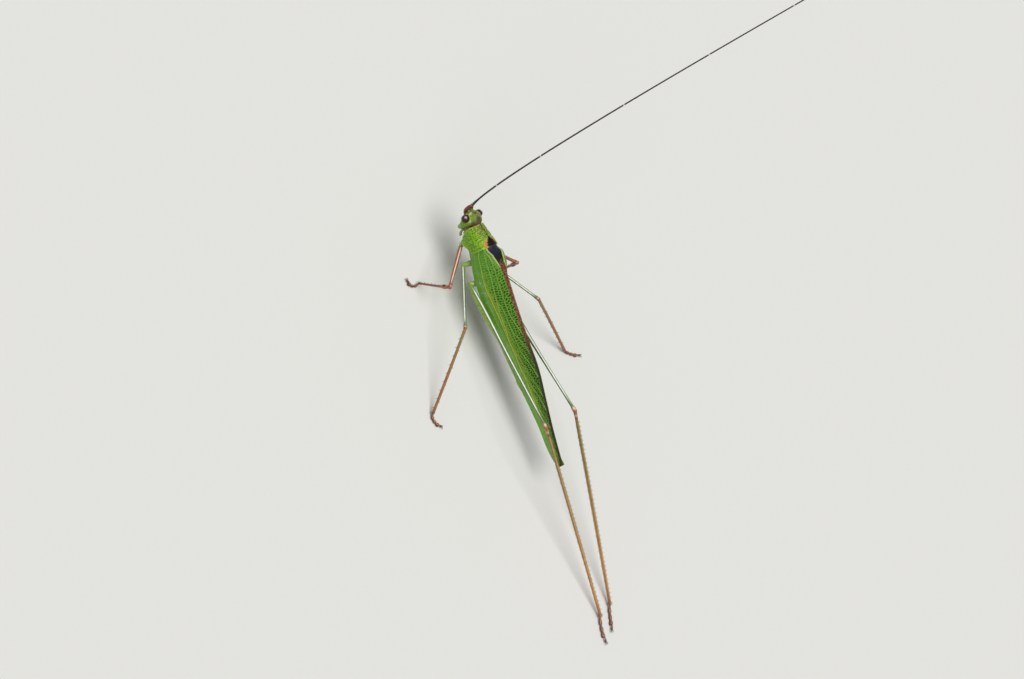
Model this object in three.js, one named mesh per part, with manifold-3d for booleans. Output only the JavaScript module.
// A male long-horned grasshopper (bush-cricket) of the slender leaf-mimic kind, standing at rest, life size.
//
// Units are millimetres. Every place is first given the way an entomologist would say it: so far forward
// of the pronotum's rear edge, so far left of the midline, and so far up from the ground. at() turns that
// into the model's axes: head towards -Y, the insect's left towards +X, +Z up. The whole insect is moved
// at the end, so that the origin is on the ground under the middle of its box.

import * as THREE from 'three';
import { mergeVertices } from 'three/addons/utils/BufferGeometryUtils.js';
import Module from 'manifold-3d';

// ---------------------------------------------------------------------------------------------------------
// Driving dimensions
// ---------------------------------------------------------------------------------------------------------

const JOINT_GAP = 0.05; // clear space between neighbouring hard parts
const THINNEST = 0.25; // least half thickness of a limb, feeler or claw-bearing segment

// Pronotum: the saddle behind the head.
const PRONOTUM_LENGTH = 3.04; // along the body, rear edge to front edge
const PRONOTUM_HEIGHT = 9.6; // top of the rear edge above the ground
const PRONOTUM_SLOPE = 0.293; // drop per millimetre forward
const PRONOTUM_SHELL = 0.45; // thickness of the saddle
const LOBE_DEPTH = 3.5; // how far the side lobes hang below the back
const DISC_HALF_WIDTH_FRONT = 1.28;
const DISC_HALF_WIDTH_REAR = 1.6;

// Head, eyes and mouth.
const EYE_FORWARD = 4.35;
const EYE_HALF_SPACING = 1.15;
const EYE_HEIGHT = 7.78;
const EYE_RADIUS = 0.53;

// Feelers.
const SCAPE_RADIUS = 0.27;
const FEELER_RADIUS_BASE = 0.27;

// Tegmina, the leathery fore wings, folded like a narrow roof.
const TEGMEN_LENGTH = 28.5;
const TEGMEN_THICKNESS = 0.5;
const MIDLINE_GAP = 0.06; // between the two wings
const WING_ROOT_GAP = 0.06; // behind the pronotum

// Trunk.
const THORAX_HALF_WIDTH = 1.06;
const ABDOMEN_FRONT = -5.2;
const ABDOMEN_REAR = -16.2;

// Number of sides of the round parts.
const HEAD_SIDES = 16;
const TRUNK_SIDES = 12;
const LIMB_SIDES = 8;
const TARSUS_SIDES = 6;

// ---------------------------------------------------------------------------------------------------------
// Finishes
// ---------------------------------------------------------------------------------------------------------

const finish = (color, roughness) => new THREE.MeshStandardMaterial({ color, roughness, metalness: 0 });

const LEAF_GREEN = finish(0x6fa832, 0.5);
const WING_GREEN = finish(0x4f8f2a, 0.45);
const BELLY_GREEN = finish(0x8dbb57, 0.55);
const EYE_BROWN = finish(0x2a1512, 0.12);
const FEELER_BLACK = finish(0x1d1f18, 0.5);
const SCAPE_RED = finish(0x6e2a18, 0.35);
const ORANGE_TAN = finish(0xb7602f, 0.38);
const PALE_GREEN = finish(0xa9c98a, 0.4);
const OCHRE_BROWN = finish(0x9a6630, 0.42);
const TARSUS_RED = finish(0x6f3222, 0.45);

// ---------------------------------------------------------------------------------------------------------
// Helpers: places, closed skins and cuts
// ---------------------------------------------------------------------------------------------------------

const at = (forward, left, up) => new THREE.Vector3(left, -forward, up);
const mix = THREE.MathUtils.lerp;
const clamp01 = (value) => THREE.MathUtils.clamp(value, 0, 1);
const FORWARD = at(1, 0, 0);
const LEFT = at(0, 1, 0);
const UP = at(0, 0, 1);

// A smooth curve through named heights or widths: stations run backwards from the wing's root.
function curveThrough(pairs) {
  const spline = new THREE.SplineCurve(pairs.map(([station, value]) => new THREE.Vector2(station, value)));
  const samples = spline.getPoints(80);
  return (station) => {
    const after = samples.findIndex((sample) => sample.x >= station);
    if (after === -1) return samples[samples.length - 1].y;
    if (after === 0) return samples[0].y;
    const [a, b] = [samples[after - 1], samples[after]];
    return mix(a.y, b.y, (station - a.x) / (b.x - a.x));
  };
}

function geometryFrom(points, triangles) {
  const geometry = new THREE.BufferGeometry();
  geometry.setAttribute('position', new THREE.Float32BufferAttribute(points.flatMap((p) => p.toArray()), 3));
  geometry.setIndex(triangles.flat());
  return facingOut(geometry);
}

// Turns every triangle round when the closed skin would have a negative volume.
function facingOut(geometry) {
  const position = geometry.getAttribute('position');
  const index = geometry.getIndex();
  const [a, b, c] = [new THREE.Vector3(), new THREE.Vector3(), new THREE.Vector3()];
  let volume = 0;
  for (let i = 0; i < index.count; i += 3) {
    a.fromBufferAttribute(position, index.getX(i));
    b.fromBufferAttribute(position, index.getX(i + 1));
    c.fromBufferAttribute(position, index.getX(i + 2));
    volume += a.dot(b.cross(c));
  }
  if (volume < 0) {
    for (let i = 0; i < index.count; i += 3) {
      const second = index.getX(i + 1);
      index.setX(i + 1, index.getX(i + 2));
      index.setX(i + 2, second);
    }
  }
  return geometry;
}

// A skin over a row of rings with the same number of points. The flat ends are cut into triangles in the
// plane of the end ring.
function loft(rings) {
  const count = rings[0].length;
  const points = rings.flat();
  const triangles = [];
  for (let r = 0; r < rings.length - 1; r += 1) {
    for (let k = 0; k < count; k += 1) {
      const [a, b] = [r * count + k, r * count + ((k + 1) % count)];
      triangles.push([a, b, b + count], [a, b + count, a + count]);
    }
  }
  const last = rings.length - 1;
  for (const [a, b, c] of endTriangles(rings[0])) triangles.push([b, a, c]);
  for (const corners of endTriangles(rings[last])) triangles.push(corners.map((k) => last * count + k));
  return geometryFrom(points, triangles);
}

function endTriangles(ring) {
  const normal = new THREE.Vector3();
  ring.forEach((p, k) => normal.add(p.clone().cross(ring[(k + 1) % ring.length])));
  normal.normalize();
  const across = ring[1].clone().sub(ring[0]).normalize();
  const other = normal.clone().cross(across);
  const flat = ring.map((p) => new THREE.Vector2(p.dot(across), p.dot(other)));
  return THREE.ShapeUtils.triangulateShape(flat, []);
}

// A closed plate between an outer and an inner surface, both functions of two numbers from 0 to 1.
function plate(rows, columns, outer, inner) {
  const points = [];
  const layer = (rows + 1) * (columns + 1);
  for (const surface of [outer, inner]) {
    for (let r = 0; r <= rows; r += 1) {
      for (let c = 0; c <= columns; c += 1) points.push(surface(r / rows, c / columns));
    }
  }
  const id = (r, c) => r * (columns + 1) + c;
  const triangles = [];
  for (let r = 0; r < rows; r += 1) {
    for (let c = 0; c < columns; c += 1) {
      const [p, q, s, t] = [id(r, c), id(r, c + 1), id(r + 1, c + 1), id(r + 1, c)];
      triangles.push([p, q, s], [p, s, t]);
      triangles.push([layer + q, layer + p, layer + s], [layer + s, layer + p, layer + t]);
    }
  }
  const rim = [];
  for (let c = 0; c < columns; c += 1) rim.push(id(0, c));
  for (let r = 0; r < rows; r += 1) rim.push(id(r, columns));
  for (let c = columns; c > 0; c -= 1) rim.push(id(rows, c));
  for (let r = rows; r > 0; r -= 1) rim.push(id(r, 0));
  rim.forEach((a, k) => {
    const b = rim[(k + 1) % rim.length];
    triangles.push([b, a, layer + a], [b, layer + a, layer + b]);
  });
  return geometryFrom(points, triangles);
}

function ellipse(centre, sideways, upright, halfWidth, halfHeight, sides) {
  return Array.from({ length: sides }, (_, k) => {
    const turn = (2 * Math.PI * k) / sides;
    return centre
      .clone()
      .addScaledVector(sideways, halfWidth * Math.cos(turn))
      .addScaledVector(upright, halfHeight * Math.sin(turn));
  });
}

const manifold = await Module();
manifold.setup();

function solid(geometry) {
  const bare = mergeVertices(geometry, 1e-6);
  return new manifold.Manifold(
    new manifold.Mesh({
      numProp: 3,
      vertProperties: new Float32Array(bare.getAttribute('position').array),
      triVerts: new Uint32Array(bare.getIndex().array),
    }),
  );
}

function geometryOf(body) {
  const mesh = body.getMesh();
  const geometry = new THREE.BufferGeometry();
  geometry.setAttribute('position', new THREE.BufferAttribute(mesh.vertProperties, mesh.numProp));
  geometry.setIndex(new THREE.BufferAttribute(mesh.triVerts, 1));
  return geometry;
}

const joined = (bodies) => bodies.slice(1).reduce((whole, body) => whole.add(body), bodies[0]);
const cutBy = (body, tools) => tools.reduce((rest, tool) => rest.subtract(tool), body);

// Everything under the ground, which flattens the soles.
function ground() {
  const box = new THREE.BoxGeometry(200, 200, 10);
  box.deleteAttribute('normal');
  box.deleteAttribute('uv');
  box.translate(0, 0, -5);
  return solid(box);
}

const insect = new THREE.Group();

function addPart(name, body, material) {
  const mesh = new THREE.Mesh(geometryOf(body), material);
  mesh.name = name;
  insect.add(mesh);
}

// ---------------------------------------------------------------------------------------------------------
// Pronotum: a saddle whose side lobes hang down and round off below
// ---------------------------------------------------------------------------------------------------------

// around runs from the left lobe's edge (0) over the back (0.5) to the right lobe's edge (1), and along
// runs from the front edge (0) to the rear edge (1). grow thickens the shell all round.
function pronotumSurface(around, along, depth) {
  const side = around < 0.5 ? 1 : -1;
  const down = Math.abs(2 * around - 1);
  const frontEdge = PRONOTUM_LENGTH - 1.15 * clamp01((down - 0.35) / 0.65) ** 1.8;
  const rearEdge = 1.1 * clamp01((down - 0.7) / 0.3) ** 3;
  const forward = mix(frontEdge, rearEdge, along);
  const halfWidth = mix(DISC_HALF_WIDTH_REAR, DISC_HALF_WIDTH_FRONT, forward / PRONOTUM_LENGTH);
  const bulge = Math.sin(clamp01(down / 0.62) * (Math.PI / 2)) ** 0.9;
  const tuck = 0.1 * clamp01((down - 0.7) / 0.3) ** 2;
  const lean = clamp01(down / 0.5) * (Math.PI / 2);
  const left = side * (halfWidth * (bulge - tuck) - depth * Math.sin(lean));
  const top = PRONOTUM_HEIGHT - PRONOTUM_SLOPE * forward;
  const up = top - LOBE_DEPTH * down ** 1.5 - depth * Math.cos(lean);
  return at(forward, left, up);
}

function pronotum(grow = 0) {
  const stretch = 1 + grow / 1.5;
  const widen = (along) => mix(0.5, along, stretch);
  return solid(
    plate(
      18,
      7,
      (around, along) => pronotumSurface(around, widen(along), -grow),
      (around, along) => pronotumSurface(around, widen(along), PRONOTUM_SHELL + grow),
    ),
  );
}

// ---------------------------------------------------------------------------------------------------------
// Head with its vertex point, eyes set in sockets, mouth and palps
// ---------------------------------------------------------------------------------------------------------

// Each row: height above the eyes, forward place of the middle, half width, half depth.
const HEAD_RINGS = [
  [1.05, 4.02, 0.3, 0.34],
  [0.9, 4.05, 0.6, 0.66],
  [0.55, 4.1, 0.86, 0.9],
  [0.1, 4.1, 1.0, 0.98],
  [-0.4, 4.02, 1.08, 0.98],
  [-0.9, 3.9, 1.08, 0.92],
  [-1.4, 3.76, 0.98, 0.82],
  [-1.8, 3.64, 0.82, 0.68],
];

function upright(rings, sides, grow = 0) {
  return solid(
    loft(
      rings.map(([up, forward, halfWidth, halfDepth]) =>
        ellipse(at(forward, 0, EYE_HEIGHT + up), LEFT, FORWARD, halfWidth + grow, halfDepth + grow, sides),
      ),
    ),
  );
}

function eye(side, grow = 0) {
  const ball = new THREE.SphereGeometry(EYE_RADIUS + grow, 12, 8);
  ball.deleteAttribute('normal');
  ball.deleteAttribute('uv');
  ball.scale(0.94, 1, 1.06);
  const place = at(EYE_FORWARD, side * EYE_HALF_SPACING, EYE_HEIGHT);
  ball.translate(place.x, place.y, place.z);
  return solid(ball);
}

// A rod through a few points whose half thickness is given at each of them.
function rod(points, radii, sides, grow = 0) {
  const rings = points.map((point, i) => {
    const before = points[Math.max(i - 1, 0)];
    const after = points[Math.min(i + 1, points.length - 1)];
    const along = after.clone().sub(before).normalize();
    const sideways = UP.clone().cross(along);
    if (sideways.length() < 0.1) sideways.copy(LEFT);
    sideways.normalize();
    const crosswise = along.clone().cross(sideways);
    return ellipse(point, sideways, crosswise, radii[i] + grow, radii[i] + grow, sides);
  });
  return solid(loft(rings));
}

const VERTEX_ROUTE = [at(4.3, 0, 8.52), at(4.9, 0, 8.45), at(5.3, 0, 8.3)];

const eyes = { left: eye(1), right: eye(-1) };
const eyeSockets = [eye(1, JOINT_GAP), eye(-1, JOINT_GAP)];
const vertexPoint = rod(VERTEX_ROUTE, [0.32, 0.27, 0.14], LIMB_SIDES);
const headWhole = joined([upright(HEAD_RINGS, HEAD_SIDES), vertexPoint]);
const headGrown = upright(
  [[1.12, 4.02, 0.3, 0.34], ...HEAD_RINGS, [-1.87, 3.64, 0.82, 0.68]],
  HEAD_SIDES,
  JOINT_GAP,
);
const head = cutBy(headWhole, eyeSockets);

const MOUTH_RINGS = [
  [-1.75, 3.64, 0.64, 0.56],
  [-2.2, 3.56, 0.58, 0.5],
  [-2.55, 3.48, 0.45, 0.4],
  [-2.75, 3.42, 0.28, 0.28],
];
const mouth = cutBy(upright(MOUTH_RINGS, 12), [headGrown]);
const mouthGrown = upright([...MOUTH_RINGS, [-2.8, 3.42, 0.28, 0.28]], 12, JOINT_GAP);

const PALP_RADII = [THINNEST, THINNEST, THINNEST, 0.28, 0.2];

function palp(side) {
  const route = [
    at(3.3, side * 0.45, 5.75),
    at(3.1, side * 0.72, 5.4),
    at(2.95, side * 0.72, 5.05),
    at(2.75, side * 0.62, 4.7),
    at(2.5, side * 0.5, 4.5),
  ];
  return cutBy(rod(route, PALP_RADII, 6), [headGrown, mouthGrown]);
}

// ---------------------------------------------------------------------------------------------------------
// Feelers: a stout scape on the brow, and a flagellum twice as long as the body
// ---------------------------------------------------------------------------------------------------------

const FEELERS = {
  left: {
    scape: [at(4.8, 0.52, 7.4), at(5.25, 0.55, 7.75), at(5.45, 0.48, 8.25), at(5.55, 0.36, 8.72)],
    flagellum: [at(5.62, 0.2, 9.02), at(7.98, -2.65, 13.41), at(13.89, -22.24, 63.16)],
  },
  right: {
    scape: [at(4.8, -0.5, 7.4), at(5.25, -0.5, 7.62), at(5.5, -0.5, 7.95), at(5.6, -0.5, 8.2)],
    flagellum: [at(5.62, -0.5, 8.25), at(8, -4.53, 11.29), at(14.17, -37.65, 49.92)],
  },
};
const FLAGELLUM_STEPS = 20;

function scape(places, grow = 0) {
  return rod(places, [SCAPE_RADIUS, SCAPE_RADIUS * 1.1, SCAPE_RADIUS, THINNEST], LIMB_SIDES, grow);
}

function flagellum([root, middle, tip]) {
  const curve = new THREE.QuadraticBezierCurve3(root, middle, tip);
  const points = curve.getPoints(FLAGELLUM_STEPS);
  const radii = points.map((_, i) => mix(FEELER_RADIUS_BASE, THINNEST, i / FLAGELLUM_STEPS));
  return rod(points, radii, 6);
}

// ---------------------------------------------------------------------------------------------------------
// Tegmina: a flat strip along the ridge, steep sides, and a lower edge that hangs beside the body
// ---------------------------------------------------------------------------------------------------------

// Each pair: how far behind the wing's root, and the height or half width there.
const ridgeHeight = curveThrough([
  [0, 9.38],
  [4, 9.46],
  [8, 8.95],
  [12, 8.5],
  [16, 8.18],
  [20, 7.2],
  [24, 6.2],
  [TEGMEN_LENGTH, 5.3],
]);
const lowerEdge = curveThrough([
  [0, 6.6],
  [1.5, 5.75],
  [4, 5.2],
  [8, 4.9],
  [14, 4.8],
  [22, 4.9],
  [26, 4.62],
  [TEGMEN_LENGTH, 4.95],
]);
const wingHalfBreadth = curveThrough([
  [0, 1.45],
  [3, 1.55],
  [8, 1.5],
  [14, 1.28],
  [20, 0.92],
  [25, 0.66],
  [TEGMEN_LENGTH, 0.53],
]);
const roofHalfWidth = curveThrough([
  [0, 1.12],
  [2, 1.02],
  [3.6, 0.52],
  [5.5, 0.36],
  [TEGMEN_LENGTH, 0.34],
]);

const SIDE_STEPS = 5;
const STATION_STEP = 1.7;

// The outline of one wing's cut across the body, so far behind the wing's root.
function tegmenSection(station, side, grow) {
  const ridge = ridgeHeight(station) + grow;
  const lower = lowerEdge(station) - grow;
  const breadth = wingHalfBreadth(station) + grow;
  const roof = Math.min(roofHalfWidth(station) + grow, breadth * 0.8);
  const inmost = MIDLINE_GAP / 2 - (grow ? MIDLINE_GAP : 0);
  const eaves = ridge - 0.02;
  const outline = [[inmost, ridge], [roof, eaves]];
  const swell = (q) => Math.sin(q * (Math.PI / 2)) ** 0.9;
  const sidePoint = (q) => [mix(roof, breadth, swell(q)), mix(eaves, lower, q)];
  for (let k = 1; k <= SIDE_STEPS; k += 1) outline.push(sidePoint(k / SIDE_STEPS));
  for (let k = SIDE_STEPS; k >= 1; k -= 1) {
    const [left, up] = sidePoint(k / SIDE_STEPS);
    outline.push([Math.max(left - TEGMEN_THICKNESS - 2 * grow, inmost), up]);
  }
  return outline.map(([left, up]) => at(-station, side * left, up));
}

function tegmen(side, grow = 0) {
  const stations = [WING_ROOT_GAP - grow];
  for (let s = STATION_STEP; s < TEGMEN_LENGTH - 1; s += STATION_STEP) stations.push(s);
  stations.push(TEGMEN_LENGTH + grow);
  return solid(loft(stations.map((station) => tegmenSection(station, side, grow))));
}

// ---------------------------------------------------------------------------------------------------------
// Trunk: prothorax under the saddle, deep thorax between the legs, and the ringed abdomen
// ---------------------------------------------------------------------------------------------------------

// Each row: forward place, middle height, half width, half height.
function trunk(rows, sides, grow = 0) {
  return solid(
    loft(rows.map(([f, up, halfWidth, halfHeight]) =>
      ellipse(at(f, 0, up), LEFT, UP, halfWidth + grow, halfHeight + grow, sides))),
  );
}

const PROTHORAX_ROWS = [
  [3.25, 7.35, 0.66, 0.85],
  [2.85, 7.1, 0.84, 1.3],
  [2.0, 6.9, 0.98, 1.75],
  [1.0, 6.9, 1.02, 1.9],
  [0.25, 6.95, 1.02, 1.95],
];
const THORAX_ROWS = [
  [0.2, 6.95, 1.0, 1.95],
  [-0.8, 6.8, THORAX_HALF_WIDTH, 2.1],
  [-2.4, 6.7, THORAX_HALF_WIDTH, 2.1],
  [-4.0, 6.65, THORAX_HALF_WIDTH, 1.95],
  [-5.1, 6.6, 0.98, 1.6],
];

const ABDOMEN_SEGMENTS = 8;

// Each segment is a little fuller in its middle than at the seams on both sides of it.
function abdomenRows() {
  const rows = [];
  for (let k = 0; k <= 2 * ABDOMEN_SEGMENTS; k += 1) {
    const t = k / (2 * ABDOMEN_SEGMENTS);
    const seam = k % 2 === 0 ? 0.95 : 1;
    const forward = mix(ABDOMEN_FRONT, ABDOMEN_REAR, t);
    const halfWidth = mix(0.98, 0.58, t ** 1.6) * seam;
    const halfHeight = mix(1.55, 0.8, t ** 1.4) * seam;
    rows.push([forward, mix(6.5, 5.3, t ** 1.2), halfWidth, halfHeight]);
  }
  return rows;
}

function cercus(side, tools) {
  const route = [
    at(ABDOMEN_REAR + 0.5, side * 0.34, 4.75),
    at(ABDOMEN_REAR - 0.4, side * 0.6, 4.45),
    at(ABDOMEN_REAR - 1.3, side * 0.55, 4.4),
    at(ABDOMEN_REAR - 1.9, side * 0.3, 4.45),
  ];
  return cutBy(rod(route, [0.27, 0.27, 0.25, 0.2], 6), tools);
}

function subgenitalPlate(tools) {
  const rows = [
    [ABDOMEN_REAR + 0.9, 4.1, 0.32, 0.26],
    [ABDOMEN_REAR + 0.1, 3.98, 0.38, 0.27],
    [ABDOMEN_REAR - 0.9, 3.85, 0.32, 0.26],
    [ABDOMEN_REAR - 1.6, 3.8, 0.25, 0.22],
  ];
  return cutBy(trunk(rows, 8), tools);
}

// ---------------------------------------------------------------------------------------------------------
// Legs
// ---------------------------------------------------------------------------------------------------------

// Where each leg bends. coxa is inside the thorax wall, hip is where the femur starts, and toes follow the
// tarsus along the ground to the root of the claws.
const LEG_JOINTS = {
  front_left: {
    coxa: at(1.85, 0.55, 5.5),
    hip: at(1.45, 0.95, 4.75),
    knee: at(-2.63, 6.05, 5.85),
    ankle: at(-0.81, 5.9, 0.52),
    toes: [at(-0.95, 6.5, 0.27), at(-0.6, 7.1, 0.27), at(0.05, 7.3, 0.3)],
    claws: at(0.5, 7.3, 0.3),
  },
  front_right: {
    coxa: at(1.85, -0.55, 5.5),
    hip: at(1.45, -0.95, 4.75),
    knee: at(-3.2, -5.35, 6.1),
    ankle: at(-3.3, -5.95, 0.52),
    toes: [at(-2.85, -6.25, 0.27), at(-2.1, -6.5, 0.27), at(-1.4, -6.5, 0.3)],
    claws: at(-0.95, -6.4, 0.3),
  },
  middle_left: {
    coxa: at(-1.0, 0.75, 5.4),
    hip: at(-0.8, 1.6, 4.55),
    knee: at(-7.98, 6.69, 6.33),
    ankle: at(-16.12, 11.85, 0.52),
    toes: [at(-16.75, 12.0, 0.27), at(-17.5, 11.75, 0.27), at(-18.0, 11.3, 0.3)],
    claws: at(-18.3, 10.95, 0.3),
  },
  middle_right: {
    coxa: at(-1.0, -0.75, 5.4),
    hip: at(-0.8, -1.6, 4.55),
    knee: at(-8.43, -5.96, 6.48),
    ankle: at(-15.96, -11.84, 0.52),
    toes: [at(-16.45, -12.4, 0.27), at(-17.0, -13.2, 0.27), at(-17.35, -14.0, 0.3)],
    claws: at(-17.6, -14.5, 0.3),
  },
  hind_left: {
    coxa: at(-3.6, 0.75, 5.0),
    hip: at(-3.3, 1.85, 4.55),
    knee: at(-23.1, 2.75, 8.55),
    ankle: at(-48.06, -0.4, 0.52),
    toes: [at(-48.9, -0.15, 0.27), at(-50.2, 0.15, 0.27), at(-51.2, 0.25, 0.3)],
    claws: at(-51.75, 0.25, 0.3),
  },
  hind_right: {
    coxa: at(-3.6, -0.75, 5.0),
    hip: at(-3.3, -1.85, 4.55),
    knee: at(-22.75, -2.5, 8.7),
    ankle: at(-47.33, -2.55, 0.52),
    toes: [at(-48.2, -2.25, 0.27), at(-49.4, -1.8, 0.27), at(-50.2, -1.45, 0.3)],
    claws: at(-50.7, -1.2, 0.3),
  },
};

// Half thickness along each segment: across the leg's plane and within it, at fractions of the length.
const FRONT_FEMUR = [
  [0, 0.27, 0.3],
  [0.12, 0.3, 0.36],
  [0.45, 0.29, 0.33],
  [0.86, 0.27, 0.3],
  [0.95, 0.3, 0.38],
];
const MIDDLE_FEMUR = [
  [0, 0.27, 0.3],
  [0.1, 0.3, 0.36],
  [0.5, 0.26, 0.28],
  [0.9, 0.26, 0.28],
  [0.965, 0.3, 0.36],
];
const HIND_FEMUR = [
  [0, 0.28, 0.32],
  [0.05, 0.34, 0.48],
  [0.14, 0.4, 0.62],
  [0.24, 0.4, 0.62],
  [0.36, 0.34, 0.48],
  [0.52, 0.28, 0.34],
  [0.75, 0.26, 0.3],
  [0.95, 0.27, 0.32],
  [0.985, 0.33, 0.42],
];
const FRONT_TIBIA = [
  [0.06, 0.25, 0.26],
  [0.1, 0.27, 0.28],
  [0.2, 0.36, 0.34],
  [0.34, 0.3, 0.28],
  [0.5, 0.25, 0.25],
  [1, 0.27, 0.26],
];
const LONG_TIBIA = [
  [0.02, 0.25, 0.28],
  [0.04, 0.27, 0.3],
  [0.08, 0.25, 0.27],
  [0.5, 0.25, 0.26],
  [0.95, 0.26, 0.27],
  [1, 0.28, 0.28],
];

const PAIRS = {
  front: {
    femur: FRONT_FEMUR,
    tibia: FRONT_TIBIA,
    femurMaterial: ORANGE_TAN,
    tibiaMaterial: ORANGE_TAN,
    padHalfWidth: 0.3,
  },
  middle: {
    femur: MIDDLE_FEMUR,
    tibia: LONG_TIBIA,
    femurMaterial: PALE_GREEN,
    tibiaMaterial: OCHRE_BROWN,
    padHalfWidth: 0.32,
  },
  hind: {
    femur: HIND_FEMUR,
    tibia: LONG_TIBIA,
    femurMaterial: PALE_GREEN,
    tibiaMaterial: OCHRE_BROWN,
    padHalfWidth: 0.36,
  },
};

// A straight segment with an oval cut. ahead and behind are how far its rounded ends reach past the joints.
function segment(start, end, across, profile, ahead, behind, grow = 0) {
  const along = end.clone().sub(start);
  const length = along.length();
  along.normalize();
  const inPlane = across.clone().cross(along).normalize();
  const place = (distance) => start.clone().addScaledVector(along, distance);
  const ring = (distance, [, width, depth], scale) =>
    ellipse(place(distance), across, inPlane, width * scale + grow, depth * scale + grow, LIMB_SIDES);
  const first = profile[0];
  const last = profile[profile.length - 1];
  const rings = [ring(-ahead - grow, first, 0.6)];
  for (const row of profile) rings.push(ring(row[0] * length, row, 1));
  if (last[0] < 1) rings.push(ring(length, last, 1));
  rings.push(ring(length + behind + grow, last, 0.6));
  return solid(loft(rings));
}

// The normal of the plane that a leg bends in.
function bendNormal({ hip, knee, ankle }) {
  return knee.clone().sub(hip).cross(ankle.clone().sub(knee)).normalize();
}

const ANKLE_HEIGHT = 0.34;
const PAD_HALF_HEIGHT = 0.29;
const STEPS_PER_PAD = 3;

// Three padded segments, a thin claw segment and two hooked claws, cut flat by the ground.
function tarsus(joints, padHalfWidth, soil) {
  const { ankle, toes, claws } = joints;
  const route = new THREE.CatmullRomCurve3([ankle.clone().setZ(ANKLE_HEIGHT), ...toes]);
  const steps = 3 * STEPS_PER_PAD + 2;
  const points = route.getPoints(steps);
  const pads = points.map((_, i) => {
    if (i > 3 * STEPS_PER_PAD) return THINNEST;
    return mix(THINNEST, padHalfWidth, Math.sin((Math.PI * i) / STEPS_PER_PAD) ** 2);
  });
  const rings = points.map((point, i) => {
    const along = points[Math.min(i + 1, steps)].clone().sub(points[Math.max(i - 1, 0)]).normalize();
    const sideways = UP.clone().cross(along).normalize();
    return ellipse(point, sideways, along.clone().cross(sideways), pads[i], PAD_HALF_HEIGHT, TARSUS_SIDES);
  });
  const root = toes[toes.length - 1];
  const heading = claws.clone().sub(root).setZ(0).normalize();
  const sideways = UP.clone().cross(heading);
  const reach = claws.distanceTo(root);
  const hook = (side) => {
    const step = (go, out, up) =>
      root.clone().addScaledVector(heading, go * reach).addScaledVector(sideways, side * out).setZ(up);
    return rod([step(-0.2, 0.05, 0.3), step(0.5, 0.2, 0.42), step(1, 0.28, 0.2)], [0.2, 0.18, 0.12], 5);
  };
  return cutBy(joined([solid(loft(rings)), hook(1), hook(-1)]), [soil]);
}

function addLeg(name, joints, body, soil) {
  const pair = PAIRS[name.split('_')[0]];
  const across = bendNormal(joints);
  const { coxa, hip, knee, ankle } = joints;
  const coxaRoute = [coxa, coxa.clone().lerp(hip, 0.6), hip];
  const coxaRadii = [0.42, 0.4, 0.3];
  const coxaGrown = rod(
    [coxa, coxa.clone().lerp(hip, 0.6), hip.clone().lerp(coxa, -0.05)],
    coxaRadii,
    LIMB_SIDES,
    JOINT_GAP,
  );
  addPart(`${name}_coxa`, cutBy(rod(coxaRoute, coxaRadii, LIMB_SIDES), body), LEAF_GREEN);

  const femur = segment(hip, knee, across, pair.femur, 0.1, 0.2);
  const femurGrown = segment(hip, knee, across, pair.femur, 0.1, 0.2, JOINT_GAP);
  addPart(`${name}_femur`, cutBy(femur, [coxaGrown]), pair.femurMaterial);

  const tibia = segment(knee, ankle, across, pair.tibia, 0, 0.02);
  const tibiaGrown = segment(knee, ankle, across, pair.tibia, 0, 0.02, JOINT_GAP);
  addPart(`${name}_tibia`, cutBy(tibia, [femurGrown]), pair.tibiaMaterial);

  addPart(`${name}_tarsus`, cutBy(tarsus(joints, pair.padHalfWidth, soil), [tibiaGrown]), TARSUS_RED);
}

// ---------------------------------------------------------------------------------------------------------
// Assembly
// ---------------------------------------------------------------------------------------------------------

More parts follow.
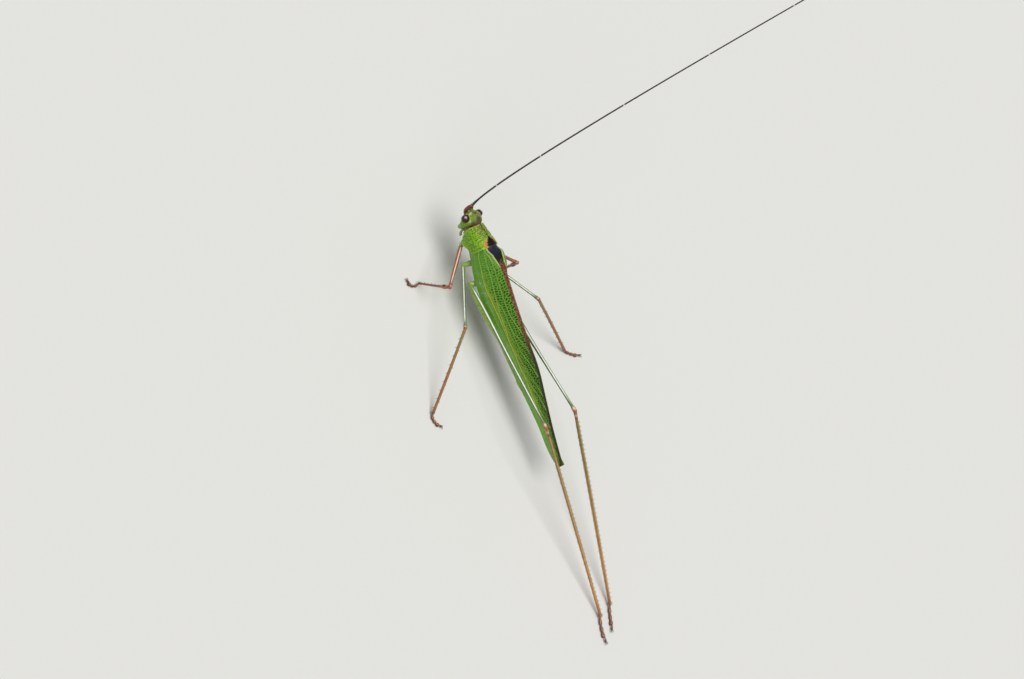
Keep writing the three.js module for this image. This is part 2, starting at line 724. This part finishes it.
const saddle = pronotum();
const saddleGrown = pronotum(JOINT_GAP);
const wings = { left: tegmen(1), right: tegmen(-1) };
const wingsGrown = [tegmen(1, JOINT_GAP), tegmen(-1, JOINT_GAP)];
const prothorax = cutBy(trunk(PROTHORAX_ROWS, TRUNK_SIDES), [saddleGrown, headGrown, mouthGrown]);
const thorax = cutBy(trunk(THORAX_ROWS, TRUNK_SIDES), [saddleGrown, ...wingsGrown]);

addPart('head', head, LEAF_GREEN);
addPart('eye_left', eyes.left, EYE_BROWN);
addPart('eye_right', eyes.right, EYE_BROWN);
addPart('mouth', mouth, BELLY_GREEN);
for (const [side, sign] of [['left', 1], ['right', -1]]) {
  const { scape: scapeRoute, flagellum: flagellumRoute } = FEELERS[side];
  addPart(`palp_${side}`, palp(sign), BELLY_GREEN);
  addPart(`scape_${side}`, cutBy(scape(scapeRoute), [headGrown, ...eyeSockets]), SCAPE_RED);
  addPart(`antenna_${side}`, cutBy(flagellum(flagellumRoute), [scape(scapeRoute, JOINT_GAP)]), FEELER_BLACK);
}
addPart('pronotum', saddle, LEAF_GREEN);
addPart('prothorax', prothorax, BELLY_GREEN);
addPart('thorax', thorax, BELLY_GREEN);
addPart('tegmen_left', wings.left, WING_GREEN);
addPart('tegmen_right', wings.right, WING_GREEN);

const abdomen = cutBy(trunk(abdomenRows(), TRUNK_SIDES), wingsGrown);
const abdomenGrown = trunk(abdomenRows(), TRUNK_SIDES, JOINT_GAP);
addPart('abdomen', abdomen, BELLY_GREEN);
for (const [side, sign] of [['left', 1], ['right', -1]]) {
  addPart(`cercus_${side}`, cercus(sign, [abdomenGrown, ...wingsGrown]), BELLY_GREEN);
}
addPart('subgenital_plate', subgenitalPlate([abdomenGrown, ...wingsGrown]), BELLY_GREEN);

const soil = ground();
const thoraxGrown = joined([
  trunk(THORAX_ROWS, TRUNK_SIDES, JOINT_GAP),
  trunk(PROTHORAX_ROWS, TRUNK_SIDES, JOINT_GAP),
]);
for (const [name, joints] of Object.entries(LEG_JOINTS)) {
  addLeg(name, joints, [thoraxGrown, saddleGrown, ...wingsGrown], soil);
}

// The origin goes to the ground under the middle of the insect's box.
const box = new THREE.Box3().setFromObject(insect);
const middle = box.getCenter(new THREE.Vector3());
insect.position.set(-middle.x, -middle.y, 0);

const model = new THREE.Group();
model.add(insect);

export default model;
